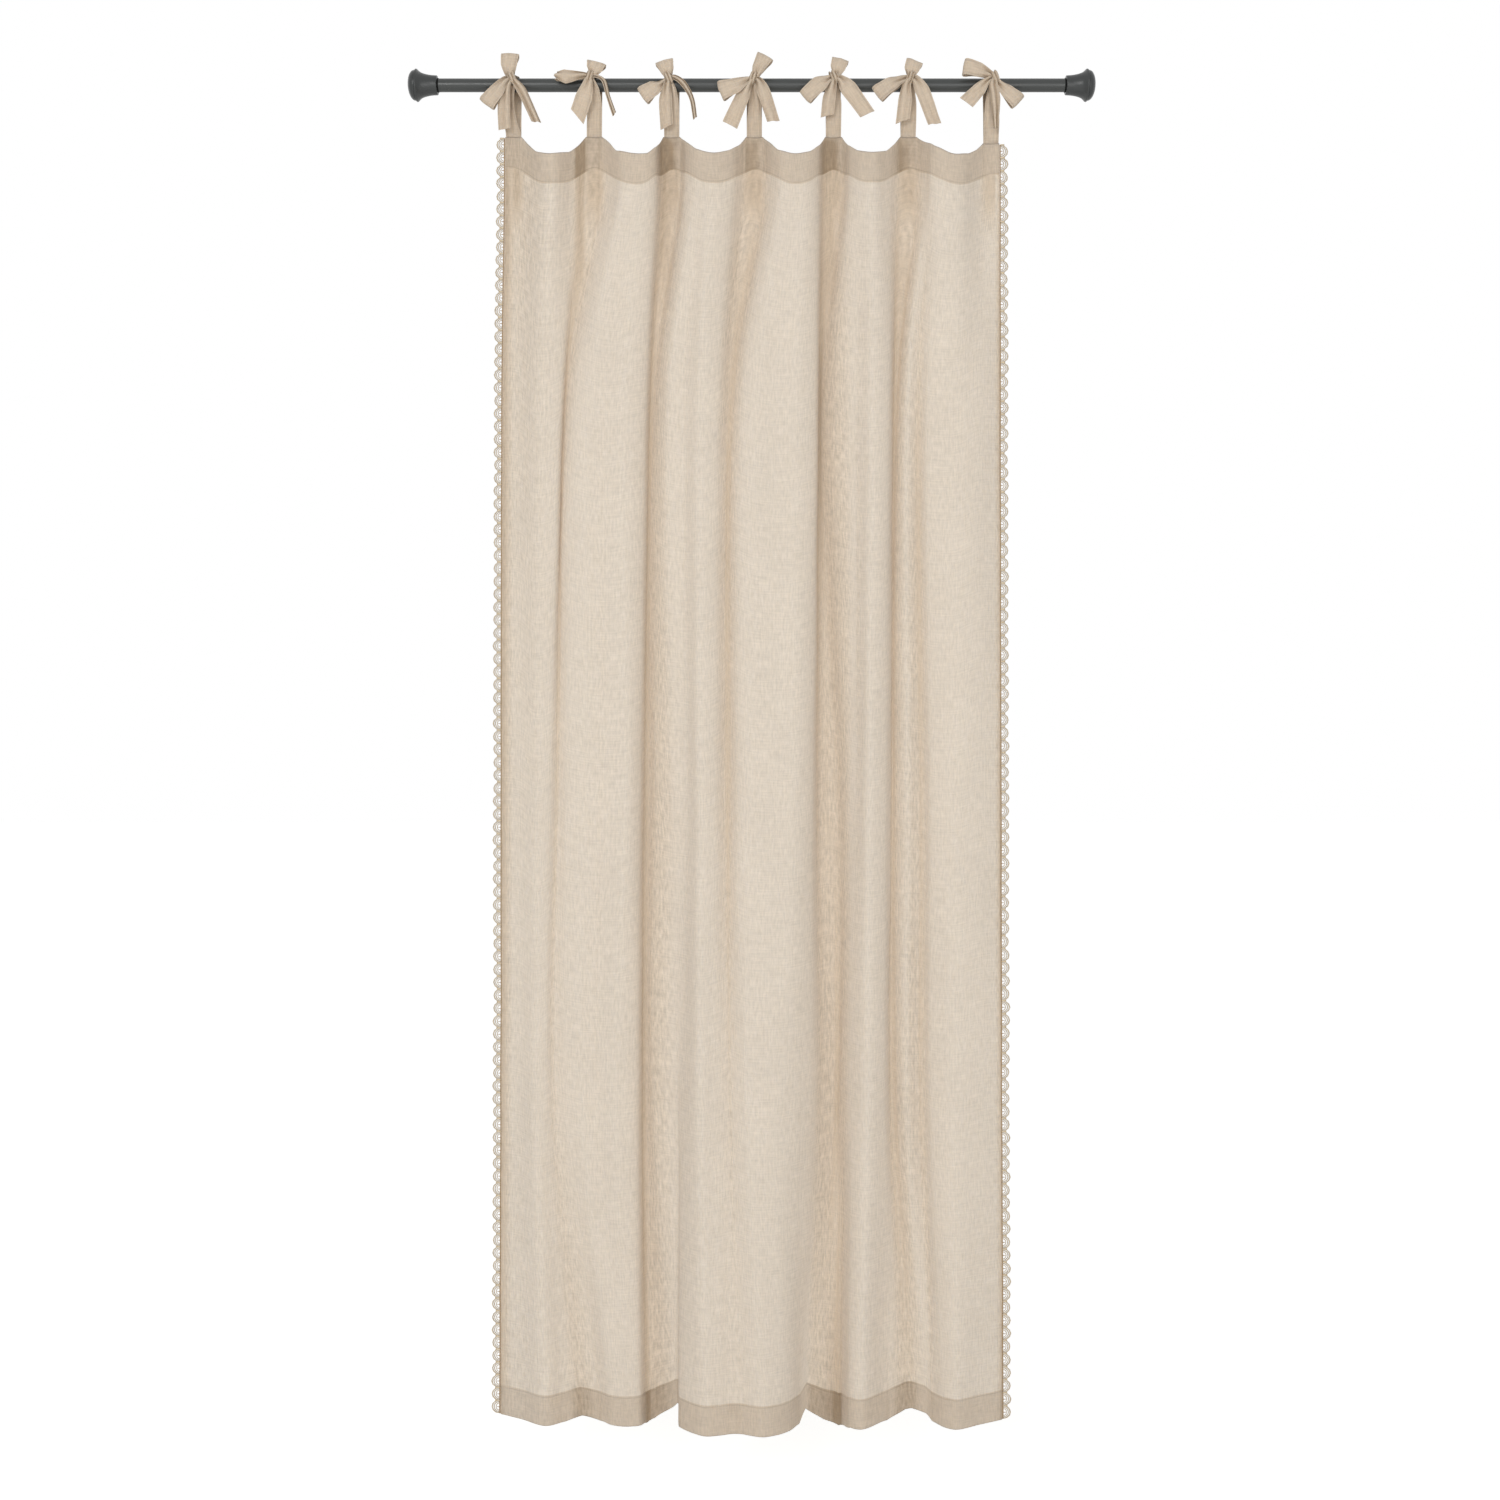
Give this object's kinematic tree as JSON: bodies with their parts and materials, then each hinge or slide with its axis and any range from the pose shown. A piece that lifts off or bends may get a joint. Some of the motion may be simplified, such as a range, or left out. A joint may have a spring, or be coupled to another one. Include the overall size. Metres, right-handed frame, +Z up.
{
  "type": "curtain",
  "caption": "Semi-sheer linen tie-top curtain with a lace side border, hanging in folds from its rod by ribbon bows.",
  "frame": {"origin": "the rod's axis at the middle of its length", "axes": "+X along the rod to the right as seen from the room, +Z up, the room on the -Y side"},
  "size_m": [1.2678, 0.1575, 2.511],
  "materials": {
    "linen": "open linen weave, slightly sheer",
    "ribbon": "doubled linen tape",
    "lace": "cream cotton cord lace",
    "tube": "matt anthracite",
    "finial": "matt anthracite"
  },
  "bodies": {
    "root": {"curtain_panel": "linen", "tie_1": "ribbon", "tie_2": "ribbon", "tie_3": "ribbon", "tie_4": "ribbon", "tie_5": "ribbon", "tie_6": "ribbon", "tie_7": "ribbon", "lace_left": "lace", "lace_right": "lace", "rod_tube": "tube", "finial_left": "finial", "finial_right": "finial", "end_cap_left": "finial", "end_cap_right": "finial"}
  },
  "joints": []
}
